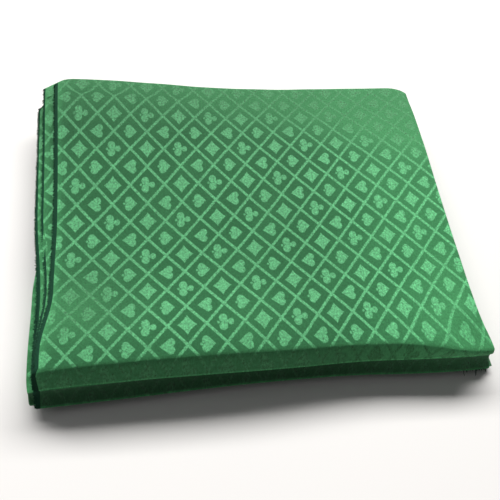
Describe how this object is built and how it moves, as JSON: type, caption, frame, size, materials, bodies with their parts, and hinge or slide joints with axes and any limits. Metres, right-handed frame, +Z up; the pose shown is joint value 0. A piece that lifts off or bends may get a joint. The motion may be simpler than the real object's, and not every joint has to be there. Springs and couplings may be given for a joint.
{
  "type": "folded playing-table cloth",
  "caption": "Length of jacquard table-playing cloth folded for storage into a flat rectangular pile that opens like a concertina.",
  "frame": {"origin": "centre of the base of the folded pile, on the surface that it lies on", "axes": "+X along the hinge creases (the width of the pile, selvedges at -X, doubled folds at +X), +Y to the rear folds, +Z up"},
  "size_m": [0.384, 0.331, 0.0375],
  "materials": {
    "cloth": "woven jacquard with a slight satin sheen, light card suits and diagonal lattice on a darker ground",
    "cloth_edge": "dark selvedge and cut threads"
  },
  "bodies": {
    "base_pack": {"base_lower_leaf": "cloth", "base_upper_leaf": "cloth", "base_lower_selvedges": "cloth_edge", "base_upper_selvedges": "cloth_edge", "base_lower_cut_end": "cloth_edge", "base_upper_cut_end": "cloth_edge", "rear_lower_crease_inner": "cloth", "rear_lower_crease_outer": "cloth"},
    "second_pack": {"second_lower_leaf": "cloth", "second_upper_leaf": "cloth", "second_lower_selvedges": "cloth_edge", "second_upper_selvedges": "cloth_edge", "front_lower_crease_inner": "cloth", "front_lower_crease_outer": "cloth"},
    "third_pack": {"third_lower_leaf": "cloth", "third_upper_leaf": "cloth", "third_lower_selvedges": "cloth_edge", "third_upper_selvedges": "cloth_edge", "rear_upper_crease_inner": "cloth", "rear_upper_crease_outer": "cloth"},
    "fourth_pack": {"fourth_lower_leaf": "cloth", "fourth_upper_leaf": "cloth", "fourth_lower_selvedges": "cloth_edge", "fourth_upper_selvedges": "cloth_edge", "front_upper_crease_inner": "cloth", "front_upper_crease_outer": "cloth"},
    "top_pack": {"top_lower_leaf": "cloth", "top_upper_leaf": "cloth", "top_lower_selvedges": "cloth_edge", "top_upper_selvedges": "cloth_edge", "half_fold": "cloth"}
  },
  "joints": [
    {"name": "rear_lower_fold", "type": "hinge", "parent": "base_pack", "child": "second_pack", "pos_m": [0, 0.15812, 0.00737], "axis": [-1, 0, 0], "range_deg": [0, 180], "deforming": ["rear_lower_crease_inner", "rear_lower_crease_outer"]},
    {"name": "front_lower_fold", "type": "hinge", "parent": "second_pack", "child": "third_pack", "pos_m": [0, -0.15313, 0.01498], "axis": [1, 0, 0], "range_deg": [0, 180], "deforming": ["front_lower_crease_inner", "front_lower_crease_outer"]},
    {"name": "rear_upper_fold", "type": "hinge", "parent": "third_pack", "child": "fourth_pack", "pos_m": [0, 0.15812, 0.02258], "axis": [-1, 0, 0], "range_deg": [0, 180], "deforming": ["rear_upper_crease_inner", "rear_upper_crease_outer"]},
    {"name": "front_upper_fold", "type": "hinge", "parent": "fourth_pack", "child": "top_pack", "pos_m": [0, -0.14513, 0.03018], "axis": [1, 0, 0], "range_deg": [0, 180], "deforming": ["front_upper_crease_inner", "front_upper_crease_outer"]}
  ],
  "couplings": [
    {"joint": "front_lower_fold", "follows": "rear_lower_fold", "ratio": 1},
    {"joint": "rear_upper_fold", "follows": "rear_lower_fold", "ratio": 1},
    {"joint": "front_upper_fold", "follows": "rear_lower_fold", "ratio": 1}
  ]
}
